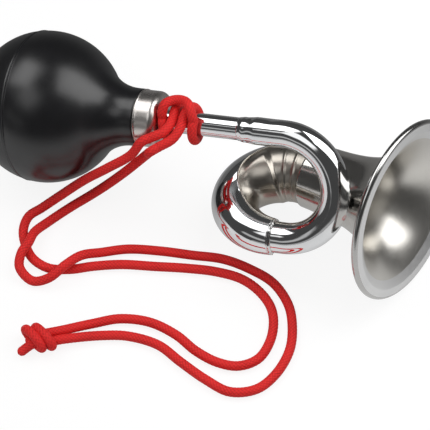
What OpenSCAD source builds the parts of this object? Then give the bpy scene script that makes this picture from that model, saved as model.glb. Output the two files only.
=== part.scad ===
// Bulb horn: rubber bulb, reed, looped tube and flared bell, with a cord lanyard.
// The horn is drawn along its own lead pipe (X), with the loop below the pipe (-Z)
// and the elbow behind it (+Y), and is then laid down as it rests on a table.

/* [Bulb] */
// Diameter of the rubber bulb
bulb_d = 58; // [52:1:68]
// Thickness of the rubber
bulb_wall = 2.6; // [1.8:0.1:3.4]
// Diameter of the rubber neck outside the ferrule
neck_d = 21.8; // [20:0.2:26]
// Radius of the hollow curve from bulb to neck
neck_fillet = 18; // [10:1:26]
// Length of straight neck before the ferrule
neck_straight = 3; // [1:0.5:8]
// How far behind the widest section the mould seam runs
seam_back = 4; // [2:0.5:8]
// Gap between the two moulded halves at the seam
seam_gap = 0.3; // [0.2:0.05:0.6]
// How deep the rubber flattens on the table
rest_flat = 0.8; // [0.5:0.1:1.4]

/* [Ferrule] */
// Diameter of the ferrule
ferrule_d = 21.3; // [19.6:0.1:26]
// Sheet thickness of the ferrule
ferrule_wall = 0.8; // [0.5:0.1:1.2]
// Straight length of the ferrule
ferrule_band = 6; // [5.5:0.5:12]
// Radius of the ferrule's shoulder
ferrule_round = 2.6; // [2.2:0.1:4]
// Thickness of the beaded rim
rim_bead = 0.5; // [0.3:0.1:0.8]

/* [Reed] */
// Wall of the brass sleeve inside the rubber neck
sleeve_wall = 0.8; // [0.6:0.1:1.2]
// How far the sleeve reaches back out of the ferrule
sleeve_reach = 4; // [2:0.5:8]
// Thickness of the leather washer
washer_t = 0.7; // [0.5:0.1:1.2]
// Length of the reed block
block_len = 4.4; // [3.8:0.2:6]
// Diameter of the air passage in the block
passage_d = 4.8; // [4:0.2:5.4]
// Diameter of the half-round trough
trough_d = 6; // [5.4:0.2:7]
// Wall of the trough
trough_wall = 0.7; // [0.5:0.1:0.8]
// Length of the trough
trough_len = 20; // [16:0.5:24]
// Length of the tongue's clamped root
root_len = 4.8; // [4:0.2:6]
// Length of the tongue that is free to swing
tongue_len = 14; // [10:0.5:15]
// Width of the tongue
tongue_w = 5; // [4.4:0.2:5.6]
// Thickness of the tongue
tongue_t = 0.25; // [0.2:0.05:0.4]
// Distance between the two clamp screws
screw_span = 5.8; // [5.6:0.1:6.4]
// Diameter of the clamp screws
screw_d = 1.2; // [1:0.1:1.4]

/* [Tubes] */
// Diameter of the lead pipe
pipe_d = 8.4; // [7.4:0.2:9]
// Sheet thickness of the pipe and the loop
pipe_wall = 0.5; // [0.4:0.1:0.7]
// Bare pipe between the ferrule and the loop tube
pipe_run = 30.6; // [27:0.2:38]
// Length of the loop tube's socket over the pipe
socket_len = 3; // [2:0.5:6]
// Length over which the loop tube swells behind its socket
swell_len = 4; // [2:0.5:8]
// Diameter of the loop tube where the loop starts
loop_start_d = 10.2; // [9.8:0.1:11]
// Diameter of the loop tube where it enters the elbow
loop_end_d = 11.8; // [11:0.1:12.4]
// Radius of the loop at the middle of the tube
loop_r = 20; // [18:0.5:24]
// Straight tube before the loop
loop_lead = 10.6; // [6:0.2:16]
// Straight tube after the loop
loop_tail = 4.4; // [4:0.2:6]

/* [Elbow] */
// How far the elbow swings back towards the bulb
elbow_reach = 19.8; // [18:0.2:21]
// How far the elbow climbs
elbow_rise = 17.4; // [16:0.2:20]
// How far the elbow steps behind the loop
elbow_shift = 26; // [26:0.5:28]
// How far the middle of the elbow is lifted
elbow_lift = 0.2; // [0:0.2:2]
// Turn of the elbow, in degrees
elbow_turn = 199; // [194:1:202]
// Diameter of the elbow's mouth
elbow_mouth_d = 13.8; // [13.4:0.1:15]
// Diameter of the elbow at the bell
elbow_d = 23.4; // [20:0.2:23.4]
// Sheet thickness of the elbow's half shells
elbow_wall = 0.6; // [0.4:0.1:0.8]
// Depth of the loop tube in the elbow's mouth
mouth_depth = 2; // [1:0.5:3]
// Length of the elbow's spigot in the bell
spigot_len = 6; // [4:0.5:9]

/* [Bell] */
// Diameter over the rolled rim
bell_d = 69.6; // [60:0.2:80]
// Length of the bell
bell_len = 42; // [40:0.5:48]
// Sheet thickness of the bell
bell_wall = 0.6; // [0.4:0.1:0.9]
// Length over which the flare falls off
flare_len = 9.5; // [8:0.5:9.5]
// Width of the flat band round the mouth
band_w = 4.2; // [3.2:0.1:6]
// Diameter of the rolled rim
bead_d = 2.6; // [2.2:0.1:3.4]
// Diameter of the wire in the rolled rim
wire_d = 1.4; // [1:0.1:1.4]

/* [Lanyard] */
// Diameter of the braided cord
cord_d = 3.6; // [3:0.1:4]

/* [Rest] */
// How far the loop leans over from upright, in degrees
rest_roll = 39; // [34:1:44]

/* [Hidden] */

// Clearances: a sliding or soldered fit, a loose fit, and room for the tongue to swing
fit = 0.05;
loose = 0.15;
swing_gap = 0.25;
// A length that reaches past everything, and a cut's reach past a face
far = 400;
past = 1;

bulb_r = bulb_d / 2;
neck_r = neck_d / 2;
ferrule_r = ferrule_d / 2;
pipe_r = pipe_d / 2;
bell_r = bell_d / 2;
bead_r = bead_d / 2;
cord_r = cord_d / 2;

// Places along the lead pipe, from the middle of the bulb
fillet_r = neck_r + neck_fillet;
fillet_x = sqrt(pow(bulb_r + neck_fillet, 2) - pow(fillet_r, 2));
ferrule_x = fillet_x + neck_straight;
shoulder_x = ferrule_x + ferrule_band;
ferrule_end = shoulder_x + ferrule_round;
washer_x = ferrule_end - ferrule_wall - fit - washer_t;
block_x = washer_x - fit - block_len;
flange_t = 0.5;
socket_depth = 2.8;
pipe_start = block_x + block_len - socket_depth;
socket_x = ferrule_end + pipe_run;
swell_x = socket_x + socket_len;
loop_x = swell_x + swell_len + loop_lead;
elbow_x = loop_x - loop_tail;

// Radii that fit into one another round the neck
plug_r = ferrule_r - ferrule_wall - fit;
plug_bore = plug_r - bulb_wall;
sleeve_r = plug_bore - fit;
block_r = sleeve_r - sleeve_wall - fit;

// Levels of the reed, up from the middle of the pipe
seat_top = 0.3;
tongue_z = seat_top + swing_gap;
clamp_z = tongue_z + tongue_t + swing_gap;
clamp_t = 0.8;
clamp_edge = 0.8;
clamp_w = screw_span + 2 * clamp_edge;
seat_t = 0.9;
head_t = 0.65;
head_d = 1.8 * screw_d;
trough_x = block_x - fit - trough_len;
root_x = block_x - fit - root_len;

// Path of the elbow by its angle of turn, and its heading there
function unit(v) = v / norm(v);
function elbow_at(turn) = [
    elbow_x - elbow_reach * sin(turn),
    elbow_shift * (1 - cos(turn)) / 2,
    -2 * loop_r + elbow_rise * (1 - cos(turn)) / 2 + elbow_lift * pow(sin(turn), 2)
];
function elbow_heading(turn) = unit([
    -elbow_reach * cos(turn),
    elbow_shift / 2 * sin(turn),
    elbow_rise / 2 * sin(turn) + elbow_lift * sin(2 * turn)
]);
// Where the seam of the two half shells runs: on top of the elbow, square to the heading
seam_lean = 0.25;
function elbow_seam(turn) = let (
    top = [seam_lean, 0, 1],
    ahead = elbow_heading(turn)
) unit(top - (top * ahead) * ahead);
swell_rate = 1.25;
function elbow_radius(turn) = elbow_mouth_d / 2
    + (elbow_d - elbow_mouth_d) / 2 * (1 - pow(1 - turn / elbow_turn, swell_rate));

bell_axis = elbow_heading(elbow_turn);
bell_seat = elbow_at(elbow_turn);
bell_mouth = bell_seat + bell_len * bell_axis;
throat_r = elbow_d / 2 + loose;
lip_r = bell_r - band_w;
ring_r = bell_r - bead_r;
ring_middle = bell_mouth - bead_r * bell_axis;

// Rest on the table: the pitch at which the flat of the bulb and the bell's rim both touch
bulb_height = bulb_r - rest_flat;
function rest_up(pitch) = [sin(pitch), -sin(rest_roll) * cos(pitch), cos(rest_roll) * cos(pitch)];
function ring_drop(up) = ring_r * sqrt(1 - pow(up * bell_axis, 2)) + bead_r;
function rest_pitch(pitch, tries) = tries == 0 ? pitch : let (
    up = rest_up(pitch),
    climb = ring_drop(up) - bulb_height - up.y * ring_middle.y - up.z * ring_middle.z
) rest_pitch(asin(climb / ring_middle.x), tries - 1);
first_pitch = 10;
pitch_tries = 40;
up = rest_up(rest_pitch(first_pitch, pitch_tries));
ahead = unit([1, 0, 0] - up.x * up);
aside = cross(up, ahead);
function turned(v) = [ahead * v, aside * v, up * v];

// Origin under the middle of the resting horn
ring_rest = turned(ring_middle);
axis_rest = turned(bell_axis);
function ring_half(i) = ring_r * sqrt(1 - pow(axis_rest[i], 2)) + bead_r;
origin_x = (ring_rest.x + ring_half(0) - bulb_r) / 2;
origin_y = (min(-bulb_r, ring_rest.y - ring_half(1)) + max(bulb_r, ring_rest.y + ring_half(1))) / 2;
function to_rest(v) = turned(v) + [-origin_x, -origin_y, bulb_height];
echo(up = up, ahead = ahead, aside = aside, origin = [origin_x, origin_y, bulb_height]);
echo(mouth = to_rest(bell_mouth), bell_axis = axis_rest);
grip_back = 6;
echo(tongue_root = to_rest([root_x, 0, tongue_z]), pipe_grip = to_rest([socket_x - grip_back, 0, 0]));

module at_rest() {
    multmatrix([
        [ahead.x, ahead.y, ahead.z, -origin_x],
        [aside.x, aside.y, aside.z, -origin_y],
        [up.x, up.y, up.z, bulb_height]
    ]) children();
}
// Turns a shape that stands on Z to lie along the lead pipe
module along_pipe() {
    rotate([0, 90, 0]) children();
}
module at_bell() {
    at_rest() translate(bell_seat)
        rotate([0, acos(bell_axis.z), atan2(bell_axis.y, bell_axis.x)]) children();
}

// Points of a ring round a place, between two angles
function ring(middle, out, over, r, from, to, steps) = [
    for (i = [0:steps]) let (a = from + (to - from) * i / steps)
        middle + r * (cos(a) * out + sin(a) * over)
];
function round_ring(middle, out, over, r, sides) = [
    for (i = [0:sides - 1]) let (a = 360 * i / sides) middle + r * (cos(a) * out + sin(a) * over)
];
function reversed(list) = [for (i = [len(list) - 1:-1:0]) list[i]];
function joined(rows) = [for (row = rows) each row];
function skin(rows, last) = let (m = len(rows[0])) [
    for (i = [0:last], j = [0:m - 1]) let (
        a = i * m + j,
        b = i * m + (j + 1) % m,
        c = (i + 1) % len(rows) * m + j,
        d = (i + 1) % len(rows) * m + (j + 1) % m
    ) each [[a, b, d], [a, d, c]]
];
// End face of a closed section, as a ladder between its two sides
function cap(first, m) = [
    for (j = [0:m / 2 - 2]) let (a = first + j, b = first + m - 1 - j)
        each [[a, b, a + 1], [a + 1, b, b - 1]]
];
function flipped(faces) = [for (f = faces) [f[0], f[2], f[1]]];
// A solid through closed sections, ended by flat faces
module loft(rows) {
    m = len(rows[0]);
    n = len(rows);
    polyhedron(joined(rows), concat(skin(rows, n - 2), cap(0, m), flipped(cap((n - 1) * m, m))), 4);
}
// A hollow tube: its outer rings one way and its inner rings back
module hollow_loft(outer, inner) {
    rows = concat(outer, reversed(inner));
    polyhedron(joined(rows), skin(rows, len(rows) - 1), 4);
}

// Bulb and its hollow, as a section beside the pipe's middle line: round back, hollow curve, neck
arc_steps = 32;
fillet_steps = 9;
touch_angle = atan2(fillet_x, fillet_r);
module bulb_section(inset) {
    polygon(concat(
        [for (i = [0:arc_steps]) let (a = -90 + (90 + touch_angle) * i / arc_steps)
            (bulb_r - inset) * [cos(a), sin(a)]],
        [for (i = [1:fillet_steps]) let (a = 180 + touch_angle * (1 - i / fillet_steps))
            [fillet_r, fillet_x] + (neck_fillet + inset) * [cos(a), sin(a)]],
        [[neck_r - inset, ferrule_x - fit], [plug_r - inset, ferrule_x - fit], [plug_r - inset, shoulder_x],
            [0, shoulder_x]]
    ));
}
module bulb_half(from, to) {
    intersection() {
        at_rest() along_pipe() rotate_extrude($fn = 96) intersection() {
            difference() {
                bulb_section(0);
                bulb_section(bulb_wall);
                translate([0, shoulder_x - bulb_wall]) square([plug_bore, 2 * bulb_wall]);
            }
            translate([0, from]) square([far, to - from]);
        }
        translate([-far / 2, -far / 2, 0]) cube(far);
    }
}
module bulb_front() {
    color("#1c1c1d") bulb_half(-seam_back + seam_gap / 2, far / 2);
}
module bulb_rear() {
    color("#1c1c1d") bulb_half(-far / 2, -seam_back - seam_gap / 2);
}

// Ferrule: a beaded cup with a round shoulder, drilled for the lead pipe
module ferrule_section(inset) {
    translate([0, ferrule_x]) square([ferrule_r - inset, ferrule_band]);
    translate([0, shoulder_x]) square([ferrule_r - ferrule_round, ferrule_round - inset]);
    intersection() {
        translate([ferrule_r - ferrule_round, shoulder_x]) circle(r = ferrule_round - inset, $fn = 48);
        translate([0, shoulder_x]) square([ferrule_r, ferrule_round]);
    }
}
module neck_ferrule() {
    color("#c9c7c2") at_rest() along_pipe() rotate_extrude($fn = 96) difference() {
        union() {
            ferrule_section(0);
            translate([ferrule_r - rim_bead, ferrule_x + rim_bead]) circle(r = 2 * rim_bead, $fn = 32);
        }
        ferrule_section(ferrule_wall);
        translate([0, ferrule_x - far]) square([ferrule_r - ferrule_wall, far + fit]);
        translate([0, shoulder_x]) square([pipe_r + fit, far]);
        translate([0, ferrule_x - far]) square([far, far]);
    }
}

// Brass sleeve that spreads the rubber neck, with a lip that keeps it from pulling out
module neck_sleeve() {
    lip = 0.7;
    color("#c2a24e") at_rest() along_pipe() rotate_extrude($fn = 64) difference() {
        union() {
            translate([0, ferrule_x - sleeve_reach])
                square([sleeve_r, washer_x - fit - flange_t - fit - ferrule_x + sleeve_reach]);
            translate([0, ferrule_x - sleeve_reach]) square([sleeve_r + lip, lip]);
        }
        translate([0, -far / 2]) square([sleeve_r - sleeve_wall, far]);
    }
}
module reed_washer() {
    color("#8a5a36") at_rest() translate([washer_x, 0, 0]) along_pipe() difference() {
        cylinder(r = sleeve_r, h = washer_t, $fn = 64);
        translate([0, 0, -past]) cylinder(r = pipe_r + loose, h = washer_t + 2 * past, $fn = 64);
    }
}
// Block with a socket for the pipe, an air passage and a flange against the sleeve
module reed_block() {
    color("#b8963f") at_rest() translate([block_x, 0, 0]) along_pipe() difference() {
        union() {
            cylinder(r = block_r, h = block_len, $fn = 64);
            translate([0, 0, block_len - flange_t]) cylinder(r = sleeve_r, h = flange_t, $fn = 64);
        }
        translate([0, 0, block_len - socket_depth - fit]) cylinder(r = pipe_r + fit, h = far, $fn = 64);
        translate([0, 0, -past]) cylinder(d = passage_d, h = far, $fn = 64);
    }
}
// Half-round trough with a closed tip and a seat for the tongue's root
module reed_trough() {
    color("#c8a850") at_rest() difference() {
        union() {
            intersection() {
                translate([trough_x, 0, 0]) along_pipe() cylinder(d = trough_d, h = trough_len, $fn = 64);
                translate([0, -far / 2, -far]) cube([far, far, far]);
            }
            translate([root_x, -clamp_w / 2, seat_top - seat_t]) cube([root_len, clamp_w, seat_t]);
        }
        intersection() {
            translate([trough_x + trough_wall, 0, 0]) along_pipe()
                cylinder(d = trough_d - 2 * trough_wall, h = far, $fn = 64);
            translate([0, -far / 2, -far]) cube([root_x, far, 2 * far]);
        }
        intersection() {
            translate([root_x - past, 0, 0]) along_pipe()
                cylinder(d = trough_d - 2 * trough_wall, h = far, $fn = 64);
            translate([0, -far / 2, -far]) cube([far, far, far + seat_top - seat_t]);
        }
        screw_places() translate([0, 0, -far / 2]) cylinder(d = screw_d + 2 * fit, h = far, $fn = 32);
    }
}
module screw_places() {
    for (side = [-1, 1]) translate([root_x + root_len / 2, side * screw_span / 2, 0]) children();
}
module reed_tongue() {
    root_w = screw_span - screw_d - 2 * (fit + swing_gap);
    color("#e0c878") at_rest() union() {
        translate([root_x - tongue_len, -tongue_w / 2, tongue_z]) cube([tongue_len, tongue_w, tongue_t]);
        translate([root_x - fit, -root_w / 2, tongue_z]) cube([root_len, root_w, tongue_t]);
    }
}
module reed_clamp() {
    color("#c8a850") at_rest() difference() {
        translate([root_x, -clamp_w / 2, clamp_z]) cube([root_len - fit, clamp_w, clamp_t]);
        screw_places() translate([0, 0, clamp_z - past]) cylinder(d = screw_d + 2 * fit, h = far, $fn = 32);
    }
}
module reed_screws() {
    color("#9a9a96") at_rest() screw_places() {
        translate([0, 0, seat_top - seat_t])
            cylinder(d = screw_d, h = clamp_z + clamp_t + seat_t, $fn = 32);
        translate([0, 0, clamp_z + clamp_t]) cylinder(d = head_d, h = head_t, $fn = 32);
    }
}

module lead_pipe() {
    color("#d5d6d8") at_rest() translate([pipe_start, 0, 0]) along_pipe() difference() {
        cylinder(r = pipe_r, h = swell_x - pipe_start, $fn = 64);
        translate([0, 0, -past]) cylinder(r = pipe_r - pipe_wall, h = far, $fn = 64);
    }
}

// Loop tube: socket, swell, straight lead, half a turn and straight tail
loop_sides = 28;
loop_steps = 20;
function loop_radius(part) = (loop_start_d + (loop_end_d - loop_start_d) * part) / 2;
socket_r = pipe_r + fit + pipe_wall;
loop_rows = concat(
    [[[socket_x, 0, 0], [0, 0, 1], socket_r], [[swell_x, 0, 0], [0, 0, 1], socket_r]],
    [[[swell_x + swell_len, 0, 0], [0, 0, 1], loop_radius(0)]],
    [for (i = [0:loop_steps]) let (turn = 180 * i / loop_steps, out = [sin(turn), 0, cos(turn)])
        [[loop_x, 0, -loop_r] + loop_r * out, out, loop_radius(i / loop_steps)]],
    [[[elbow_x - mouth_depth, 0, -2 * loop_r], [0, 0, -1], loop_radius(1)]]
);
module loop_tube() {
    color("#d5d6d8") at_rest() hollow_loft(
        [for (row = loop_rows) round_ring(row[0], row[1], [0, 1, 0], row[2], loop_sides)],
        [for (row = loop_rows) round_ring(row[0], row[1], [0, 1, 0], row[2] - pipe_wall, loop_sides)]
    );
}

// Elbow: two half shells, outside and inside of the bend, that meet on its top and underneath
elbow_steps = 26;
half_steps = 14;
elbow_rows = concat(
    [for (i = [0:elbow_steps]) let (turn = elbow_turn * i / elbow_steps, seam = elbow_seam(turn))
        [elbow_at(turn), seam, cross(elbow_heading(turn), seam), elbow_radius(turn)]],
    [let (seam = elbow_seam(elbow_turn))
        [bell_seat + spigot_len * bell_axis, seam, cross(bell_axis, seam), elbow_d / 2]]
);
module elbow_half(from, to) {
    at_rest() loft([for (row = elbow_rows) concat(
        ring(row[0], row[1], row[2], row[3], from, to, half_steps),
        ring(row[0], row[1], row[2], row[3] - elbow_wall, to, from, half_steps)
    )]);
}
module elbow_outer() {
    color("#d8d9db") elbow_half(-180, 0);
}
module elbow_inner() {
    color("#b4b0a6") elbow_half(0, 180);
}

// Solder that fills the elbow's mouth round the loop tube
module joint_solder() {
    solder_in = mouth_depth / 2;
    solder_r = loop_end_d / 2 + fit;
    mouth_r = elbow_mouth_d / 2;
    color("#c4c5c6") at_rest() translate([elbow_x, 0, -2 * loop_r]) along_pipe() rotate_extrude($fn = 64)
        polygon([[solder_r, -solder_in], [mouth_r - elbow_wall - loose, -solder_in],
            [mouth_r - elbow_wall - loose, fit], [mouth_r, fit], [solder_r, mouth_r - solder_r]]);
}

// Bell: an exponential flare with a flat band and a rolled rim over a wire
bell_steps = 22;
step_growth = 1.4;
flare_tail = exp(-bell_len / flare_len);
function flare_r(z) = throat_r
    + (lip_r - throat_r) * (exp((z - bell_len) / flare_len) - flare_tail) / (1 - flare_tail);
function flare_slope(z) = (lip_r - throat_r) / flare_len
    * exp((z - bell_len) / flare_len) / (1 - flare_tail);
function bell_inside(z) = [flare_r(z), z];
function bell_outside(z) = let (slope = flare_slope(z))
    [flare_r(z), z] + bell_wall / sqrt(1 + slope * slope) * [1, -slope];
bell_z = [for (i = [bell_steps:-1:0]) bell_len * (1 - pow(i / bell_steps, step_growth))];
// Rolled rim: the sheet turned outwards and back round the wire, by its angle from the band
curl_turn = 250;
curl_steps = 13;
function curl(r, i) = let (a = 90 - curl_turn * i / curl_steps)
    [ring_r, bell_len - bead_r] + r * [cos(a), sin(a)];
module bell() {
    color("#bdb9b0") at_bell() rotate_extrude($fn = 96) polygon(concat(
        [[throat_r + bell_wall, 0]],
        [for (z = bell_z) bell_inside(z)],
        [for (i = [0:curl_steps]) curl(bead_r, i)],
        [for (i = [curl_steps:-1:0]) curl(wire_d / 2 + fit, i)],
        [[lip_r + bell_wall, bell_len - bell_wall]],
        [for (i = [bell_steps - 1:-1:1]) bell_outside(bell_z[i])]
    ));
}
module rim_wire() {
    color("#8e8f90") at_bell() rotate_extrude($fn = 96)
        translate([ring_r, bell_len - bead_r]) circle(d = wire_d, $fn = 32);
}

// Lanyard: a cord doubled, hitched round the lead pipe by its middle and knotted at its ends
hitch_gap = 0.5;
hitch_pitch = cord_d + hitch_gap;
wrap_r = pipe_r + 2 * fit + cord_r;
// Angles round the pipe: 0 faces the front and 90 is on top
wrap_start = 40;
wrap_end = 385;
bar_angle = 70;
// Where the legs of the bar stand, from the middle of the hitch
leg_share = 1.52;
leg_out = leg_share * hitch_pitch;
hitch_x = ferrule_end + 2 * fit + cord_r + leg_out;
wrap_steps = 24;
bar_steps = 7;
bar_lift = 1.7;
function round_pipe(x, r, a) = [x, -r * cos(a), r * sin(a)];
// How a strand leaves its wrap: along the pipe, round it and away from it
leave_a = [[0, -18, 0.4], [0, -34, 2.4], [-1.4, -46, 5], [-5.6, -54, 7.2]];
leave_b = [[0, -20, 0.4], [0, -40, 2.4], [-2, -58, 5.4], [-6.4, -66, 8.4]];
function leaving(side, moves) = [for (move = moves)
    round_pipe(hitch_x + side * hitch_pitch / 2 + move.x, wrap_r + move.z, wrap_start + move.y)];
// Half of the hitch: once round the pipe and over to the middle of the bar
function hitch_half(side) = concat(
    [for (i = [0:wrap_steps]) let (part = i / wrap_steps)
        round_pipe(
            hitch_x + side * (hitch_pitch / 2 + (leg_out - hitch_pitch / 2) * part),
            wrap_r,
            wrap_start + (wrap_end - wrap_start) * part
        )],
    [for (i = [1:bar_steps]) let (part = 90 * i / bar_steps)
        round_pipe(
            hitch_x + side * leg_out * cos(part),
            wrap_r + hitch_pitch * min(1, bar_lift * sin(part)),
            wrap_end + (360 + bar_angle - wrap_end) * sin(part)
        )]
);
half_b = reversed(hitch_half(1));
hitch_path = concat(
    reversed(leaving(-1, leave_a)),
    hitch_half(-1),
    [for (i = [1:len(half_b) - 1]) half_b[i]],
    leaving(1, leave_b)
);

function path_heading(path, i) =
    unit(path[min(i + 1, len(path) - 1)] - path[max(i - 1, 0)]);
// Turns a side direction along a path so that its rings don't twist
function carried(path, i, side) = let (t = path_heading(path, i), flat = side - (side * t) * t) unit(flat);
function sides_along(path, i, side) = i == len(path) ? [] : let (now = carried(path, i, side))
    concat([now], sides_along(path, i + 1, now));
module cord_tube(path, first_side, sides) {
    outs = sides_along(path, 0, first_side);
    loft([for (i = [0:len(path) - 1])
        round_ring(path[i], outs[i], cross(path_heading(path, i), outs[i]), cord_r, sides)]);
}
hitch_sides = 6;
strand_sides = 8;
// Least gap of the hitch to itself, over points more than a few steps apart
apart = 9;
hitch_clear = min([for (i = [0:len(hitch_path) - 1], j = [i + apart:1:len(hitch_path) - 1])
    norm(hitch_path[i] - hitch_path[j])]) - cord_d;
echo(least_gap_of_the_hitch = hitch_clear);

// Routes of the two strands over the table
strand_a_points = [
    [-24, -12, 39], [-32, -16, 32], [-41, -18, 22], [-50, -21, 11], [-57, -25, 4], [-61, -29, 2],
    [-61, -35, 2], [-58, -41, 2], [-53, -46, 2], [-46, -48, 2], [-38, -46, 2], [-30, -42, 2],
    [-20, -38, 2], [-8, -35, 2], [4, -32, 2], [15, -30, 2], [25, -30, 2], [33, -33, 2],
    [39, -38, 2], [42, -44, 2], [43, -52, 2], [41, -60, 2], [35, -65, 2], [27, -66, 2],
    [18, -64, 2], [9, -60, 2], [-2, -58, 2], [-13, -60, 2], [-22, -65, 2]
];
strand_b_points = [
    [-19, -9, 37], [-26, -12, 27], [-33, -14, 17], [-40, -16, 8], [-47, -21, 3], [-53, -29, 2],
    [-56, -36, 4], [-56, -42, 6], [-57, -47, 6], [-56, -52, 4], [-50, -55, 2], [-44, -53, 4],
    [-39, -47, 7], [-35, -41, 6], [-29, -36, 3], [-20, -31, 2], [-8, -28, 2], [4, -26, 2],
    [16, -24, 2], [27, -25, 2], [37, -28, 2], [45, -35, 2], [49, -43, 2], [51, -53, 2],
    [49, -64, 2], [44, -72, 2], [35, -76, 2], [25, -74, 2], [14, -70, 2], [4, -66, 2],
    [-8, -66, 2], [-18, -69, 2]
];
// End knot: a barrel of cord round the two strands, with their cut tail
knot_middle = [-38.5, -78, 5];
knot_turn = 30;
knot_r = 5;
knot_len = 10;
tail_len = 8;
knot_step = 15;
knot_lap = 60;
knot_heading = [cos(knot_turn), sin(knot_turn), 0];
knot_aside = [-sin(knot_turn), cos(knot_turn), 0];
strand_drop = 1.4;
function knot_meet(side, out) = knot_middle + (knot_len / 2 + fit + out) * knot_heading
    + side * (cord_r + fit) * knot_aside - [0, 0, strand_drop];
function knot_turn_points(level, from, to) = [for (a = [from:knot_step:to])
    [knot_r - cord_r, level] + cord_r * [cos(a), sin(a)]];
module lanyard_hitch() {
    color("#c81e22") at_rest() cord_tube(hitch_path, [1, 0, 0], hitch_sides);
}
// A strand goes on from the hitch the way the hitch ends, and runs straight into the knot
module strand(last, before, points, side) {
    start = to_rest(last);
    onward = unit(start - to_rest(before));
    color("#c81e22") cord_tube(concat(
        [start + fit * onward, start + cord_d * onward],
        points,
        [knot_meet(side, cord_d), knot_meet(side, 0)]
    ), [0, 0, 1], strand_sides);
}
module lanyard_strand_a() {
    strand(hitch_path[0], hitch_path[1], strand_a_points, 1);
}
module lanyard_strand_b() {
    strand(hitch_path[len(hitch_path) - 1], hitch_path[len(hitch_path) - 2], strand_b_points, -1);
}
module lanyard_knot() {
    color("#c81e22") translate(knot_middle) rotate([0, -90, knot_turn]) rotate_extrude($fn = 48) {
        polygon(concat(
            [[0, -knot_len / 2]],
            knot_turn_points(cord_r - knot_len / 2, -90, knot_lap),
            knot_turn_points(knot_len / 2 - cord_r, -knot_lap, 90),
            [[cord_r, knot_len / 2], [cord_r, knot_len / 2 + tail_len], [0, knot_len / 2 + tail_len]]
        ));
    }
}

bulb_front();
bulb_rear();
neck_ferrule();
neck_sleeve();
reed_washer();
reed_block();
reed_trough();
reed_tongue();
reed_clamp();
reed_screws();
lead_pipe();
loop_tube();
elbow_outer();
elbow_inner();
joint_solder();
bell();
rim_wire();
lanyard_hitch();
lanyard_strand_a();
lanyard_strand_b();
lanyard_knot();
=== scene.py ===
import math

import bpy
import numpy as np
from mathutils import Matrix


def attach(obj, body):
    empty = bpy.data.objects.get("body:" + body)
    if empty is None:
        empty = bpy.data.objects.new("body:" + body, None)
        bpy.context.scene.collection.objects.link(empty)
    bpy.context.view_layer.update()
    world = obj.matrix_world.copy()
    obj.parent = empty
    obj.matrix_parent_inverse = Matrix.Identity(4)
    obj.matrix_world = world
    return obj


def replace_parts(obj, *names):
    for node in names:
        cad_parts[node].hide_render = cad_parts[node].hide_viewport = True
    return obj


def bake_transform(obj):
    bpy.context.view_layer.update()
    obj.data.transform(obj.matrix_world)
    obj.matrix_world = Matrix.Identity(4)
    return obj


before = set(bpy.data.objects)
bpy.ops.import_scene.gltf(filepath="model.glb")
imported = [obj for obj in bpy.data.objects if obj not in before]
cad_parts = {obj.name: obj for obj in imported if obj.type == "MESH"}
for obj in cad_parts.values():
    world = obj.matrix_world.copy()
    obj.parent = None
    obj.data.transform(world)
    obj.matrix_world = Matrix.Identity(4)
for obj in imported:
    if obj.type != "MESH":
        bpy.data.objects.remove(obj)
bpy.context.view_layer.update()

MM = 0.001
FULL_TURN = 2 * math.pi
ORIGIN = np.zeros(3)
X, Y, Z = np.eye(3)

# Sizes in millimetres, as the source has them, in the horn's own frame
BULB_R = 29.0
NECK_R = 10.9
NECK_FILLET = 18.0
NECK_STRAIGHT = 3.0
SEAM_BACK = 4.0
REST_FLAT = 0.8
FERRULE_R = 10.65
FERRULE_WALL = 0.8
FERRULE_BAND = 6.0
FERRULE_ROUND = 2.6
RIM_BEAD = 0.5
WASHER_T = 0.7
SOCKET_DEPTH = 2.8
PIPE_R = 4.2
PIPE_WALL = 0.5
PIPE_RUN = 30.6
SOCKET_LEN = 3.0
SWELL_LEN = 4.0
LOOP_START_R = 5.1
LOOP_END_R = 5.9
LOOP_R = 20.0
LOOP_LEAD = 10.6
LOOP_TAIL = 4.4
ELBOW_REACH = 19.8
ELBOW_RISE = 17.4
ELBOW_SHIFT = 26.0
ELBOW_LIFT = 0.2
ELBOW_TURN = math.radians(199.0)
ELBOW_MOUTH_R = 6.9
ELBOW_R = 11.7
SEAM_LEAN = 0.25
SWELL_RATE = 1.25
ELBOW_WALL = 0.6
MOUTH_DEPTH = 2.0
SPIGOT_LEN = 6.0
BELL_R = 34.8
BELL_LEN = 42.0
BELL_WALL = 0.6
FLARE_LEN = 9.5
BAND_W = 4.2
BEAD_R = 1.3
WIRE_R = 0.7
CORD_R = 1.8
REST_ROLL = math.radians(39.0)
FIT = 0.05
LOOSE = 0.15

# Places along the pipe from the middle of the bulb, and the radii and the angle that go with them
FILLET_R = NECK_R + NECK_FILLET
FILLET_X = math.sqrt((BULB_R + NECK_FILLET) ** 2 - FILLET_R ** 2)
TOUCH = math.atan2(FILLET_X, FILLET_R)
FERRULE_X = FILLET_X + NECK_STRAIGHT
SHOULDER_X = FERRULE_X + FERRULE_BAND
FERRULE_END = SHOULDER_X + FERRULE_ROUND
SOCKET_X = FERRULE_END + PIPE_RUN
SWELL_X = SOCKET_X + SOCKET_LEN
LOOP_X = SWELL_X + SWELL_LEN + LOOP_LEAD
ELBOW_X = LOOP_X - LOOP_TAIL
PLUG_R = FERRULE_R - FERRULE_WALL - FIT
PIPE_START = FERRULE_END - FERRULE_WALL - FIT - WASHER_T - FIT - SOCKET_DEPTH


def unit(v):
    v = np.asarray(v, float)
    return v / np.linalg.norm(v)


# The middle line of the elbow, by the angle that it has turned
def elbow_at(t):
    return np.array([
        ELBOW_X - ELBOW_REACH * math.sin(t),
        ELBOW_SHIFT * (1 - math.cos(t)) / 2,
        -2 * LOOP_R + ELBOW_RISE * (1 - math.cos(t)) / 2 + ELBOW_LIFT * math.sin(t) ** 2,
    ])


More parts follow.
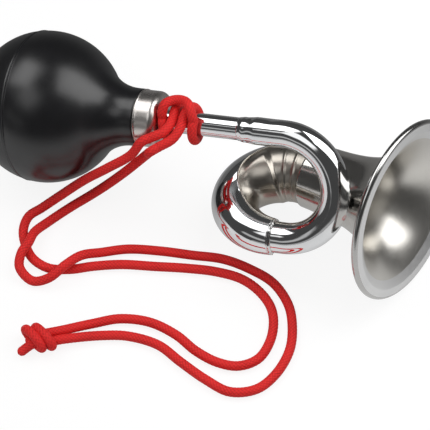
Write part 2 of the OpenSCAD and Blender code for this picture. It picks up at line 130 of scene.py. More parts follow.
def elbow_heading(t):
    return unit([
        -ELBOW_REACH * math.cos(t),
        ELBOW_SHIFT / 2 * math.sin(t),
        ELBOW_RISE / 2 * math.sin(t) + ELBOW_LIFT * math.sin(2 * t),
    ])


def elbow_seam(t):
    # Direction from the middle of the elbow to the seam on its top
    top = np.array([SEAM_LEAN, 0, 1])
    ahead = elbow_heading(t)
    return unit(top - (top @ ahead) * ahead)


def elbow_radius(t):
    return ELBOW_MOUTH_R + (ELBOW_R - ELBOW_MOUTH_R) * (1 - max(0.0, 1 - t / ELBOW_TURN) ** SWELL_RATE)


BELL_AXIS = elbow_heading(ELBOW_TURN)
BELL_SEAT = elbow_at(ELBOW_TURN)
THROAT_R = ELBOW_R + LOOSE
LIP_R = BELL_R - BAND_W
RING_R = BELL_R - BEAD_R
RING_MIDDLE = BELL_SEAT + (BELL_LEN - BEAD_R) * BELL_AXIS

# How the horn lies on the table, worked out as the source does
BULB_HEIGHT = BULB_R - REST_FLAT
FIRST_PITCH = math.radians(10)
PITCH_ROUNDS = 40


def rest_up(p):
    return np.array([math.sin(p), -math.sin(REST_ROLL) * math.cos(p), math.cos(REST_ROLL) * math.cos(p)])


pitch = FIRST_PITCH
for _ in range(PITCH_ROUNDS):
    up = rest_up(pitch)
    drop = RING_R * math.sqrt(1 - (up @ BELL_AXIS) ** 2) + BEAD_R
    climb = drop - BULB_HEIGHT - up[1] * RING_MIDDLE[1] - up[2] * RING_MIDDLE[2]
    pitch = math.asin(climb / RING_MIDDLE[0])
UP = rest_up(pitch)
AHEAD = unit(X - UP[0] * UP)
ASIDE = np.cross(UP, AHEAD)
TURN = np.array([AHEAD, ASIDE, UP])
ring_rest = TURN @ RING_MIDDLE
axis_rest = TURN @ BELL_AXIS
ring_half = RING_R * np.sqrt(1 - axis_rest ** 2) + BEAD_R
front = min(-BULB_R, ring_rest[1] - ring_half[1])
rear = max(BULB_R, ring_rest[1] + ring_half[1])
ORIGIN_X = (ring_rest[0] + ring_half[0] - BULB_R) / 2
ORIGIN_Y = (front + rear) / 2
SHIFT = np.array([-ORIGIN_X, -ORIGIN_Y, BULB_HEIGHT])


def to_rest(points):
    return np.asarray(points, float) @ TURN.T + SHIFT


# Camera at the photograph's place, aimed at a point that is measured from under the bulb's middle
AZIMUTH = math.radians(17.88)
ELEVATION = math.radians(60.0)
AIM = (73.68, -21.41, 20.0)
DISTANCE = 749.0
SENSOR = 36.0
FOCAL_PX = 2000
PHOTO_PX = 430
CLIP_END = 20


def axes_at(across, over, back, place):
    # Matrix of an object that looks against back, at a place in metres
    return Matrix([[across[k], over[k], back[k], place[k]] for k in range(3)] + [[0, 0, 0, 1]])


TARGET = np.array([AIM[0] - ORIGIN_X, AIM[1] - ORIGIN_Y, AIM[2]])
towards = np.array([math.sin(AZIMUTH), -math.cos(AZIMUTH), 0.0])
right = np.array([math.cos(AZIMUTH), math.sin(AZIMUTH), 0.0])
back = math.cos(ELEVATION) * towards + math.sin(ELEVATION) * Z
cam_data = bpy.data.cameras.new("camera")
cam = bpy.data.objects.new("camera", cam_data)
bpy.context.scene.collection.objects.link(cam)
cam.matrix_world = axes_at(right, np.cross(back, right), back, (TARGET + DISTANCE * back) * MM)
cam_data.sensor_width = SENSOR
cam_data.lens = SENSOR * FOCAL_PX / PHOTO_PX
cam_data.clip_end = CLIP_END
bpy.context.scene.camera = cam

# Mesh makers
HALF_ROUND = 0.5


def add_mesh(name, verts, faces, mats=(), uvs=None, indices=None, smooth=True):
    mesh = bpy.data.meshes.new(name)
    mesh.from_pydata([tuple(v) for v in verts], [], [tuple(f) for f in faces])
    if uvs is not None:
        layer = mesh.uv_layers.new(name="UVMap")
        loops = np.zeros(len(mesh.loops), dtype=np.int32)
        mesh.loops.foreach_get("vertex_index", loops)
        corner = np.asarray(uvs, np.float32)[loops]
        # In a face across the join, where u starts from 0 again, u goes on past 1
        u = corner[:, 0]
        starts = np.array([f.loop_start for f in mesh.polygons])
        sizes = np.array([f.loop_total for f in mesh.polygons])
        wide = np.maximum.reduceat(u, starts) - np.minimum.reduceat(u, starts) > HALF_ROUND
        u[np.repeat(wide, sizes) & (u < HALF_ROUND)] += 1
        layer.data.foreach_set("uv", corner.ravel())
    for mat in mats:
        mesh.materials.append(mat)
    if indices is not None:
        mesh.polygons.foreach_set("material_index", np.asarray(indices, np.int32))
    mesh.polygons.foreach_set("use_smooth", np.full(len(mesh.polygons), smooth))
    mesh.validate()
    mesh.update()
    obj = bpy.data.objects.new(name, mesh)
    bpy.context.scene.collection.objects.link(obj)
    return obj


def grid_faces(rows, sides, closed=False):
    # Quads between rings; a closed set goes on from the last ring to the first
    i, j = np.meshgrid(np.arange(rows if closed else rows - 1), np.arange(sides), indexing="ij")
    next_i = (i + 1) % rows
    next_j = (j + 1) % sides
    corners = (i * sides + j, i * sides + next_j, next_i * sides + next_j, next_i * sides + j)
    return np.stack(corners, -1).reshape(-1, 4)


def tube_faces(rows, sides, first=0):
    # Quads between rings and a face over each end, with the vertices counted from first
    faces = [tuple(f) for f in first + grid_faces(rows, sides)]
    faces.append(tuple(first + j for j in range(sides - 1, -1, -1)))
    faces.append(tuple(first + (rows - 1) * sides + j for j in range(sides)))
    return faces


def angles_round(sides):
    return np.linspace(0, FULL_TURN, sides, endpoint=False)


def ring_round(angle, out, side):
    # Unit vectors round one ring, or round many where out or side has a row for each
    return np.cos(angle)[:, None] * out[..., None, :] + np.sin(angle)[:, None] * side[..., None, :]


def run_along(points):
    return np.concatenate([[0], np.cumsum(np.linalg.norm(np.diff(points, axis=0), axis=1))])


def revolve(name, profile, mats, sides, indices=None, closed=False, place=ORIGIN, axes=(Z, Y, X)):
    # Turns a profile of (along, radius) points; indices has the material of the faces after each point
    out, side, along = axes
    profile = np.asarray(profile, float)
    angle = angles_round(sides)
    ring = ring_round(angle, out, side)
    pts = place + profile[:, 0, None, None] * along + profile[:, 1, None, None] * ring
    uv = np.stack(np.broadcast_arrays(angle / FULL_TURN, run_along(profile)[:, None]), -1)
    if indices is not None:
        indices = np.repeat(indices, sides)
    faces = grid_faces(len(profile), sides, closed)
    return add_mesh(name, to_rest(pts.reshape(-1, 3)) * MM, faces, mats, uv.reshape(-1, 2), indices)


def arc(along, radius, size, start, end, count, tall=1.0):
    # Profile points on an arc; angle 0 points along the axis and a quarter turn points outwards
    return [
        (along + size * math.cos(a), radius + tall * size * math.sin(a))
        for a in np.linspace(start, end, count)]


def ease(t):
    t = np.clip(t, 0.0, 1.0)
    return t * t * (3 - 2 * t)


# Cord: a smooth path with a braid of bundles each way round, crossing over and under
CORD_STEP = 0.36
CURVE_STEPS = 24
CENTRIPETAL = 0.5
BUNDLES = 8
BUNDLE_ROUND = 1.9
BUNDLE_DIP = 1.2
BRAID_LOW = 0.945
BRAID_RISE = 0.075
TIP_RINGS = 6
TIP_LEAST = 0.02
TIP_POWER = 2.4


def smooth_path(points):
    # Centripetal Catmull-Rom curve through the points, resampled evenly, and its run
    p = np.asarray(points, float)
    p = np.vstack([2 * p[0] - p[1], p, 2 * p[-1] - p[-2]])
    out = []
    for i in range(1, len(p) - 2):
        p0, p1, p2, p3 = p[i - 1:i + 3]
        t0 = 0.0
        t1 = t0 + np.linalg.norm(p1 - p0) ** CENTRIPETAL
        t2 = t1 + np.linalg.norm(p2 - p1) ** CENTRIPETAL
        t3 = t2 + np.linalg.norm(p3 - p2) ** CENTRIPETAL
        t = np.linspace(t1, t2, CURVE_STEPS, endpoint=False)[:, None]
        a1 = (t1 - t) / (t1 - t0) * p0 + (t - t0) / (t1 - t0) * p1
        a2 = (t2 - t) / (t2 - t1) * p1 + (t - t1) / (t2 - t1) * p2
        a3 = (t3 - t) / (t3 - t2) * p2 + (t - t2) / (t3 - t2) * p3
        b1 = (t2 - t) / (t2 - t0) * a1 + (t - t0) / (t2 - t0) * a2
        b2 = (t3 - t) / (t3 - t1) * a2 + (t - t1) / (t3 - t1) * a3
        out.append((t2 - t) / (t2 - t1) * b1 + (t - t1) / (t2 - t1) * b2)
    out.append(p[-2][None])
    fine = np.vstack(out)
    run = run_along(fine)
    even = np.linspace(0, run[-1], max(2, int(round(run[-1] / CORD_STEP)) + 1))
    return np.stack([np.interp(even, run, fine[:, k]) for k in range(3)], -1), even


def carried_frames(path, side):
    # Two directions across each point of a path, carried along it without twist
    heading = np.gradient(path, axis=0)
    heading /= np.linalg.norm(heading, axis=1)[:, None]
    outs = np.zeros_like(path)
    now = np.asarray(side, float)
    for i, ahead in enumerate(heading):
        now = unit(now - (now @ ahead) * ahead)
        outs[i] = now
    return outs, np.cross(heading, outs)


def braid_height(angle, run):
    # Height of the bundles: 1 where one lies on top, and least in the gaps
    around = angle / FULL_TURN * BUNDLES
    length = run / (FULL_TURN * CORD_R / BUNDLES)
    p, q = around + length, around - length
    over_p = (np.floor(p) + np.floor(q)) % 2 < 1
    across = np.where(over_p, p % 1.0, q % 1.0) - 0.5
    along = np.where(over_p, q % 1.0, p % 1.0) - 0.5
    return np.sqrt(np.clip(1 - (BUNDLE_ROUND * across) ** 2, 0, 1)) * (1 - BUNDLE_DIP * along ** 2)


def cord_mesh(name, lengths, sides):
    # One piece of lengths of cord, each with its path, frames, run and whether its end is melted
    angle = angles_round(sides)
    verts, faces, heights = [], [], []
    for path, (outs, overs), run, melted in lengths:
        height = braid_height(angle, run[:, None])
        r = CORD_R * (BRAID_LOW + BRAID_RISE * height)
        if melted:
            # The last rings draw in to a rounded tip
            for i in range(TIP_RINGS):
                r[-1 - i] *= math.sqrt(max(TIP_LEAST, 1 - ((TIP_RINGS - i) / TIP_RINGS) ** TIP_POWER))
        faces += tube_faces(len(path), sides, sides * sum(len(h) for h in heights))
        verts.append((path[:, None] + r[..., None] * ring_round(angle, outs, overs)).reshape(-1, 3))
        heights.append(height)
    obj = add_mesh(name, np.vstack(verts) * MM, faces, [cord_red])
    # The bundle heights also go to the material, which uses them to paint shade into the gaps
    layer = obj.data.attributes.new("braid", "FLOAT", "POINT")
    layer.data.foreach_set("value", np.vstack(heights).ravel().astype(np.float32))
    return obj


# Shader nodes: an input takes a constant or another node's output
NOISE_ROUGH = 0.55
NOISE_LOW = 0.3
NOISE_HIGH = 0.7


def set_inputs(tree, node, values):
    for name, value in values.items():
        if isinstance(value, bpy.types.NodeSocket):
            tree.links.new(value, node.inputs[name])
        else:
            node.inputs[name].default_value = value


def add_node(tree, kind, values):
    node = tree.nodes.new(kind)
    set_inputs(tree, node, values)
    return node


def math_node(tree, operation, *values):
    node = tree.nodes.new("ShaderNodeMath")
    node.operation = operation
    set_inputs(tree, node, dict(enumerate(values)))
    return node.outputs[0]


def dot(tree, value, direction):
    node = tree.nodes.new("ShaderNodeVectorMath")
    node.operation = "DOT_PRODUCT"
    set_inputs(tree, node, {0: value, 1: tuple(direction)})
    return node.outputs["Value"]


def noise(tree, scale, detail, grain=None):
    # Clouds in space, or a grain that is stretched along the surface
    where = tree.nodes.new("ShaderNodeTexCoord")
    place = where.outputs["Object"]
    if grain is not None:
        mapping = add_node(tree, "ShaderNodeMapping", {"Vector": where.outputs["UV"], "Scale": grain})
        place = mapping.outputs["Vector"]
    texture = add_node(tree, "ShaderNodeTexNoise", {
        "Vector": place, "Scale": scale, "Detail": detail, "Roughness": NOISE_ROUGH})
    return texture.outputs["Fac"]


def spread(tree, value, low, high, start=NOISE_LOW, end=NOISE_HIGH):
    node = add_node(tree, "ShaderNodeMapRange", {
        "Value": value, "From Min": start, "From Max": end, "To Min": low, "To Max": high})
    return node.outputs["Result"]


def blend_colours(tree, value, dark, light, start=NOISE_LOW, end=NOISE_HIGH):
    node = add_node(tree, "ShaderNodeValToRGB", {"Fac": value})
    for element, place, colour in zip(node.color_ramp.elements, (start, end), (dark, light)):
        element.position = place
        element.color = (*colour, 1)
    return node.outputs["Color"]


def bump(tree, *layers):
    # Layers of (value, strength, distance in metres), each on top of the one before
    normal = None
    for value, strength, distance in layers:
        node = add_node(tree, "ShaderNodeBump", {
            "Height": value, "Strength": strength, "Distance": distance})
        if normal is not None:
            tree.links.new(normal, node.inputs["Normal"])
        normal = node.outputs["Normal"]
    return normal


# Materials: the scale of a pattern is its features in a metre, and depths are in metres
WAVES = 110.0
WAVE_DEPTH = 0.0006
SCRATCHES = 2600.0
SCRATCH_DEPTH = 0.00004
GRAIN_STRENGTH = 0.22
GRAIN_DEPTH = 0.00003
SPUN_GRAIN = (2.0, 0.8, 1.0)
BAND_GRAIN = (3.0, 1.2, 1.0)
FERRULE_GRAIN = (2.0, 1.0, 1.0)


def new_material(name):
    mat = bpy.data.materials.new(name)
    mat.use_nodes = True
    return mat, mat.node_tree, mat.node_tree.nodes["Principled BSDF"]


def metal(name, dark, light, rough, waviness=0.0, grain=None, patch=90.0, fine=0.03):
    # A plated or bare metal: cloudy tint, uneven polish, fine scratches and, where given, waves or a grain
    mat, tree, bsdf = new_material(name)
    layers = []
    if waviness:
        layers.append((noise(tree, WAVES, 2.0), waviness, WAVE_DEPTH))
    layers.append((noise(tree, SCRATCHES, 3.0), fine, SCRATCH_DEPTH))
    if grain is not None:
        layers.append((noise(tree, 1.0, 2.0, grain), GRAIN_STRENGTH, GRAIN_DEPTH))
    set_inputs(tree, bsdf, {
        "Metallic": 1.0,
        "Base Color": blend_colours(tree, noise(tree, patch, 4.0), dark, light),
        "Roughness": spread(tree, noise(tree, 4 * patch, 5.0), *rough),
        "Normal": bump(tree, *layers),
    })
    return mat


def make_rubber():
    mat, tree, bsdf = new_material("rubber")
    bloom = noise(tree, 45.0, 5.0)
    unevenness = (noise(tree, 90.0, 3.0), 0.05, 0.0006)
    pits = (noise(tree, 2200.0, 3.0), 0.10, 0.00004)
    set_inputs(tree, bsdf, {
        "Base Color": blend_colours(tree, bloom, (0.005, 0.005, 0.006), (0.008, 0.008, 0.0095)),
        "Roughness": spread(tree, noise(tree, 160.0, 5.0), 0.28, 0.33),
        "Specular IOR Level": 0.78,
        "Normal": bump(tree, unevenness, pits),
    })
    return mat


def make_leather():
    mat, tree, bsdf = new_material("leather")
    hide = noise(tree, 700.0, 6.0)
    set_inputs(tree, bsdf, {
        "Base Color": blend_colours(tree, hide, (0.16, 0.075, 0.035), (0.32, 0.17, 0.085)),
        "Roughness": 0.75,
        "Normal": bump(tree, (noise(tree, 1800.0, 5.0), 0.5, 0.0001)),
    })
    return mat


def make_cord():
    # Red bundles with painted shade in the gaps between them, with a fuzz of fibres
    mat, tree, bsdf = new_material("cord")
    height = tree.nodes.new("ShaderNodeAttribute")
    height.attribute_name = "braid"
    set_inputs(tree, bsdf, {
        # Painted shade: the colour runs from dark red where a bundle dips into a gap to bright red on its
        # top
        "Base Color": blend_colours(
            tree, height.outputs["Fac"], (0.35, 0.006, 0.006), (0.88, 0.029, 0.027), 0.1, 0.9),
        "Roughness": 0.72,
        "Specular IOR Level": 0.3,
        "Sheen Weight": 0.14,
        "Sheen Roughness": 0.4,
        "Sheen Tint": (1.0, 0.35, 0.32, 1.0),
        "Normal": bump(tree, (noise(tree, 3800.0, 3.0), 0.25, 0.00012)),
    })
    return mat


chrome = metal("chrome", (0.76, 0.77, 0.78), (0.84, 0.845, 0.85), (0.05, 0.08), waviness=0.10)
satin = metal("satin_plate", (0.44, 0.41, 0.365), (0.48, 0.445, 0.395), (0.27, 0.31))
bell_satin = metal(
    "bell_satin", (0.68, 0.66, 0.62), (0.71, 0.69, 0.65), (0.30, 0.33), grain=SPUN_GRAIN, fine=0.008)
bell_outside = metal(
    "bell_outside", (0.62, 0.60, 0.57), (0.68, 0.66, 0.63), (0.14, 0.18), grain=SPUN_GRAIN, fine=0.01)
bell_band = metal(
    "bell_band", (0.78, 0.78, 0.78), (0.82, 0.82, 0.815), (0.42, 0.48), grain=BAND_GRAIN, fine=0.02)
bell_rim = metal(
    "bell_rim", (0.50, 0.495, 0.485), (0.56, 0.555, 0.545), (0.16, 0.20), grain=SPUN_GRAIN, fine=0.01)
nickel = metal(
    "ferrule_plate", (0.72, 0.68, 0.65), (0.76, 0.72, 0.69), (0.26, 0.31), grain=FERRULE_GRAIN, fine=0.01)
solder = metal("solder", (0.62, 0.62, 0.62), (0.80, 0.80, 0.79), (0.10, 0.24), waviness=0.30, patch=300.0)
brass = metal("brass", (0.52, 0.36, 0.12), (0.70, 0.52, 0.20), (0.20, 0.34), patch=160.0)
reed_brass = metal("reed_brass", (0.66, 0.50, 0.22), (0.80, 0.64, 0.32), (0.16, 0.26), patch=200.0)
steel = metal("steel", (0.42, 0.42, 0.41), (0.58, 0.58, 0.57), (0.26, 0.40), patch=260.0)
rubber = make_rubber()
leather = make_leather()
cord_red = make_cord()

# Lanyard: one cord from the knot, through the hitch, and back to the knot, by the source's points
STRAND_A = [
    (-24, -12, 39), (-32, -16, 32), (-41, -18, 22), (-50, -21, 11), (-57, -25, 4), (-61, -29, 2),
    (-61, -35, 2), (-58, -41, 2), (-53, -46, 2), (-46, -48, 2), (-38, -46, 2), (-30, -42, 2),
    (-20, -38, 2), (-8, -35, 2), (4, -32, 2), (15, -30, 2), (25, -30, 2), (33, -33, 2),
    (39, -38, 2), (42, -44, 2), (43, -52, 2), (41, -60, 2), (35, -65, 2), (27, -66, 2),
    (18, -64, 2), (9, -60, 2), (-2, -58, 2), (-13, -60, 2), (-22, -65, 2),
]
STRAND_B = [
    (-19, -9, 37), (-26, -12, 27), (-33, -14, 17), (-40, -16, 8), (-47, -21, 3), (-53, -29, 2),
    (-56, -36, 4), (-56, -42, 6), (-57, -47, 6), (-56, -52, 4), (-50, -55, 2), (-44, -53, 4),
    (-39, -47, 7), (-35, -41, 6), (-29, -36, 3), (-20, -31, 2), (-8, -28, 2), (4, -26, 2),
    (16, -24, 2), (27, -25, 2), (37, -28, 2), (45, -35, 2), (49, -43, 2), (51, -53, 2),
    (49, -64, 2), (44, -72, 2), (35, -76, 2), (25, -74, 2), (14, -70, 2), (4, -66, 2),
    (-8, -66, 2), (-18, -69, 2),
]
HITCH_GAP = 0.5
HITCH_PITCH = 2 * CORD_R + HITCH_GAP
WRAP_R = PIPE_R + 2 * FIT + CORD_R
# Angles round the pipe, in degrees: 0 faces the front and 90 is on top
WRAP_START = 40.0
WRAP_END = 385.0
BAR_ANGLE = 70.0
LEG_SHARE = 1.52
LEG_OUT = LEG_SHARE * HITCH_PITCH
HITCH_X = FERRULE_END + 2 * FIT + CORD_R + LEG_OUT
WRAP_STEPS = 24
BAR_STEPS = 7
BAR_LIFT = 1.7
# How a strand leaves its wrap: along the pipe, round it and away from it
LEAVE_A = [(0, -18, 0.4), (0, -34, 2.4), (-1.4, -46, 5.0), (-5.6, -54, 7.2)]
LEAVE_B = [(0, -20, 0.4), (0, -40, 2.4), (-2.0, -58, 5.4), (-6.4, -66, 8.4)]
KNOT_MIDDLE = np.array([-38.5, -78.0, 5.0])
KNOT_TURN = math.radians(30)
KNOT_LEN = 10.0
STRAND_DROP = 1.4
CORD_SIDES = 32


def round_pipe(x, r, degrees):
    a = math.radians(degrees)
    return np.array([x, -r * math.cos(a), r * math.sin(a)])


def leaving(side, moves):
    return [
        round_pipe(HITCH_X + side * HITCH_PITCH / 2 + x, WRAP_R + z, WRAP_START + y)
        for x, y, z in moves]


def hitch_half(side):
    # Half of the hitch: once round the pipe and over to the middle of the bar
    pts = []
    for i in range(WRAP_STEPS + 1):
        part = i / WRAP_STEPS
        pts.append(round_pipe(
            HITCH_X + side * (HITCH_PITCH / 2 + (LEG_OUT - HITCH_PITCH / 2) * part),
            WRAP_R, WRAP_START + (WRAP_END - WRAP_START) * part))
    for i in range(1, BAR_STEPS + 1):
        part = math.radians(90 * i / BAR_STEPS)
        pts.append(round_pipe(
            HITCH_X + side * LEG_OUT * math.cos(part),
            WRAP_R + HITCH_PITCH * min(1, BAR_LIFT * math.sin(part)),
            WRAP_END + (360 + BAR_ANGLE - WRAP_END) * math.sin(part)))
    return pts


knot_heading = np.array([math.cos(KNOT_TURN), math.sin(KNOT_TURN), 0])
knot_aside = np.array([-math.sin(KNOT_TURN), math.cos(KNOT_TURN), 0])


def knot_point(along, aside, level):
    return KNOT_MIDDLE + along * knot_heading + aside * knot_aside + level * Z


def knot_meet(side, out):
    return knot_point(KNOT_LEN / 2 + FIT + out, side * (CORD_R + FIT), -STRAND_DROP)


def strand(last, before, points, side):
    # A strand goes on from the hitch the way the hitch ends, and runs straight into the knot
    onward = last + 2 * CORD_R * unit(last - before)
    return np.vstack([last, onward, points, knot_meet(side, 2 * CORD_R), knot_meet(side, 0)])


hitch_path = to_rest(
    leaving(-1, LEAVE_A)[::-1] + hitch_half(-1) + hitch_half(1)[::-1][1:] + leaving(1, LEAVE_B))
strand_a = strand(hitch_path[0], hitch_path[1], STRAND_A, 1)
strand_b = strand(hitch_path[-1], hitch_path[-2], STRAND_B, -1)
whole, whole_run = smooth_path(np.vstack([strand_a[::-1], hitch_path[1:-1], strand_b]))
whole_frames = carried_frames(whole, Z)
cut_a = int(np.argmin(np.linalg.norm(whole - hitch_path[0], axis=1)))
cut_b = int(np.argmin(np.linalg.norm(whole - hitch_path[-1], axis=1)))
cords = {}
for name, first, last in (
        ("cord_strand_a", 0, cut_a), ("cord_hitch", cut_a, cut_b),
        ("cord_strand_b", cut_b, len(whole) - 1)):
    span = slice(first, last + 1)
    frames = [f[span] for f in whole_frames]
    cords[name] = cord_mesh(name, [(whole[span], frames, whole_run[span], False)], CORD_SIDES)
    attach(cords[name], "horn")
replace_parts(cords["cord_strand_a"], "lanyard_strand_a")
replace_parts(cords["cord_hitch"], "lanyard_hitch")
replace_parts(cords["cord_strand_b"], "lanyard_strand_b")

# End knot: the doubled cord wrapped round itself in two slanting turns, with two short melted tails
KNOT_SIDES = 24
WIND_FROM = math.radians(-96)
WIND_SWEEP = math.radians(372)
WIND_STEPS = 33
WIND_APART = 1.86
WIND_SLANT = 2.4
WIND_WIDE = 4.2
WIND_HIGH = 2.85
WIND_LEVEL = -0.15
# Each tail's side of the knot and its points: along, aside and above the knot's middle
TAILS = (
    (1, ((1.5, 1.5, -0.9), (-2.5, 0.2, -1.4), (-5.0, 1.2, -1.9))),
    (-1, ((1.5, -1.5, -0.9), (-2.5, -1.4, -1.4), (-8.6, -3.6, -3.0))),
)


def knot_length(points, side, melted):
    path, run = smooth_path(points)
    return path, carried_frames(path, side), run, melted


knot_lengths = []
for shift in (-WIND_APART, WIND_APART):
    wind = []
    for a in np.linspace(WIND_FROM, WIND_FROM + WIND_SWEEP, WIND_STEPS):
        level = WIND_LEVEL + WIND_HIGH * math.sin(a)
        wind.append(knot_point(shift - WIND_SLANT * math.cos(a), WIND_WIDE * math.cos(a), level))
    knot_lengths.append(knot_length(wind, X, False))
for side, points in TAILS:
    tail = [knot_meet(side, 0)] + [knot_point(*p) for p in points]
    knot_lengths.append(knot_length(tail, Z, True))
knot = cord_mesh("cord_knot", knot_lengths, KNOT_SIDES)
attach(knot, "horn")
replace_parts(knot, "lanyard_knot")

# Rubber bulb: one skin with the mould seam as a fine ridge, flat where it lies on the table
BULB_SIDES = 192
BULB_STEPS = 150
SEAM_STEPS = 41
# Angles in radians: left open at the rear pole, and given closer points on each side of the seam
POLE_GAP = 0.004
SEAM_REACH = 0.05
RIDGE_HIGH = 0.20
RIDGE_WIDE = 0.22
GROOVE_DEEP = 0.14
GROOVE_WIDE = 0.30
GROOVE_BACK = 0.62
FILLET_STEPS = 48
# The neck's rounded end: back from the ferrule and in from the neck's radius
NECK_END = ((0.6, 0.0), (0.25, 0.05), (FIT, 0.3))
PLUG_SHOWN = 2.0
TABLE_GAP = 0.01

seam_at = math.asin(-SEAM_BACK / BULB_R)
profile = []
for a in np.sort(np.concatenate([
        np.linspace(-math.pi / 2 + POLE_GAP, TOUCH, BULB_STEPS),
        seam_at + np.linspace(-SEAM_REACH, SEAM_REACH, SEAM_STEPS)])):
    off = (a - seam_at) * BULB_R
    r = BULB_R + RIDGE_HIGH * math.exp(-(off / RIDGE_WIDE) ** 2)
    r -= GROOVE_DEEP * math.exp(-((off + GROOVE_BACK) / GROOVE_WIDE) ** 2)
    profile.append((r * math.sin(a), r * math.cos(a)))
profile += arc(FILLET_X, FILLET_R, NECK_FILLET, -math.pi / 2 - TOUCH, -math.pi / 2, FILLET_STEPS)[1:]
profile += [(FERRULE_X - behind, NECK_R - inwards) for behind, inwards in NECK_END]
profile += [(FERRULE_X - FIT, PLUG_R), (FERRULE_X + PLUG_SHOWN, PLUG_R)]
bulb = revolve("bulb_skin", profile, [rubber], BULB_SIDES)
for v in bulb.data.vertices:
    v.co.z = max(v.co.z, TABLE_GAP * MM)
bulb.data.update()
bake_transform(bulb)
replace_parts(bulb, "bulb_front", "bulb_rear")

# Ferrule: rolled rim, straight band, round shoulder and a flat face up to the pipe
FERRULE_SIDES = 128
RIM_TALL = 1.6
RIM_FROM = math.radians(200)
RIM_TO = math.radians(44)
RIM_STEPS = 18
# Foot of the rim: along from its end and out from the band
RIM_FOOT = ((0.1, 0.02), (0.5, 0.0))
BAND_PARTS = (0.4, 0.6, 0.8)
SHOULDER_STEPS = 20
FACE_STEPS = 5
FACE_IN = 0.3
FACE_OUT = 0.5
# Edge of the hole for the pipe: back from the face and out from the pipe
HOLE_EDGE = ((0.03, 0.2), (0.15, FIT), (FERRULE_WALL, FIT))
INSIDE_R = 6.5
INSIDE_STEPS = 10

shoulder_r = FERRULE_R - FERRULE_ROUND
profile = [(FERRULE_X, FERRULE_R - FERRULE_WALL)]
profile += arc(FERRULE_X + RIM_BEAD, FERRULE_R - RIM_BEAD, RIM_BEAD, RIM_FROM, RIM_TO, RIM_STEPS, RIM_TALL)
profile += [(FERRULE_X + 2 * RIM_BEAD + along, FERRULE_R + outwards) for along, outwards in RIM_FOOT]
profile += [(FERRULE_X + part * FERRULE_BAND, FERRULE_R) for part in BAND_PARTS]
profile += arc(SHOULDER_X, shoulder_r, FERRULE_ROUND, math.pi / 2, 0, SHOULDER_STEPS)
profile += [(FERRULE_END, r) for r in np.linspace(shoulder_r - FACE_IN, PIPE_R + FACE_OUT, FACE_STEPS)]
profile += [(FERRULE_END - behind, PIPE_R + outwards) for behind, outwards in HOLE_EDGE]
profile += [(FERRULE_END - FERRULE_WALL, r) for r in (INSIDE_R, shoulder_r)]
profile += arc(SHOULDER_X, shoulder_r, FERRULE_ROUND - FERRULE_WALL, 0, math.pi / 2, INSIDE_STEPS)
ferrule = revolve("ferrule_shell", profile, [nickel], FERRULE_SIDES, closed=True)
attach(ferrule, "horn")
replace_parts(ferrule, "neck_ferrule")

# Lead pipe
PIPE_SIDES = 72
PIPE_STEPS = 60
BORE_STEPS = 12
PIPE_EDGE = 0.2

profile = [(PIPE_START, PIPE_R)]
profile += [(x, PIPE_R) for x in np.linspace(PIPE_START + PIPE_EDGE, SWELL_X, PIPE_STEPS)]
profile += [(x, PIPE_R - PIPE_WALL) for x in np.linspace(SWELL_X, PIPE_START, BORE_STEPS)]
pipe = revolve("pipe_shell", profile, [chrome], PIPE_SIDES, closed=True)
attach(pipe, "horn")
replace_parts(pipe, "lead_pipe")

# Loop tube: socket, swell, lead, half a turn and tail, with the dents of its bending
LOOP_LEAD_STEPS = 70
LOOP_TURN_STEPS = 121
LOOP_TAIL_STEPS = 24
SOCKET_DRAWN = 0.36
DRAWN_LEN = 2.2
# Run along the tube, degrees round it from the loop's outside, depth, reach along, width round in radians
DENTS = (
    (2.6, 0.0, 0.16, 1.1, 0.5), (5.2, -12.0, 0.20, 1.0, 0.4), (12.5, -8.0, 0.22, 2.2, 0.35),
    (24.0, -70.0, 0.10, 3.0, 0.4), (40.0, -40.0, 0.08, 4.0, 0.5))

socket_r = PIPE_R + FIT + PIPE_WALL
rows = []
for x in np.linspace(SOCKET_X, LOOP_X, LOOP_LEAD_STEPS)[:-1]:
    r = socket_r + (LOOP_START_R - socket_r) * ease((x - SWELL_X) / SWELL_LEN)
    r -= SOCKET_DRAWN * (1 - ease((x - SOCKET_X) / DRAWN_LEN))
    rows.append(((x, 0, 0), Z, r))
for turn in np.linspace(0, math.pi, LOOP_TURN_STEPS):
    out = np.array([math.sin(turn), 0, math.cos(turn)])
    r = LOOP_START_R + (LOOP_END_R - LOOP_START_R) * turn / math.pi
    rows.append((np.array([LOOP_X, 0, -LOOP_R]) + LOOP_R * out, out, r))
for x in np.linspace(LOOP_X, ELBOW_X - MOUTH_DEPTH, LOOP_TAIL_STEPS)[1:]:
    rows.append(((x, 0, -2 * LOOP_R), -Z, LOOP_END_R))
places, outs, radii = (np.array(column) for column in zip(*rows))
angle = angles_round(PIPE_SIDES)
ring = ring_round(angle, outs, Y)
run = run_along(places)[:, None]
dent = np.zeros((len(rows), PIPE_SIDES))
for at, round_at, depth, reach, width in DENTS:
    off = (angle - math.radians(round_at) + math.pi) % FULL_TURN - math.pi
    dent += depth * np.exp(-((run - at) / reach) ** 2) * np.exp(-(off / width) ** 2)
outer = places[:, None] + (radii[:, None] - dent)[..., None] * ring
inner = places[:, None] + (radii[:, None, None] - PIPE_WALL) * ring
pts = np.concatenate([outer, inner[::-1]]).reshape(-1, 3)
loop = add_mesh("loop_shell", to_rest(pts) * MM, grid_faces(2 * len(rows), PIPE_SIDES, True), [chrome])
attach(loop, "horn")
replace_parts(loop, "loop_tube")

# Elbow: two pressed half shells that meet on its top and underneath, and the raised seam between them
ELBOW_STEPS = 200
HALF_STEPS = 48
SPIGOT_PARTS = (0.25, 0.5, 0.75, 1.0)
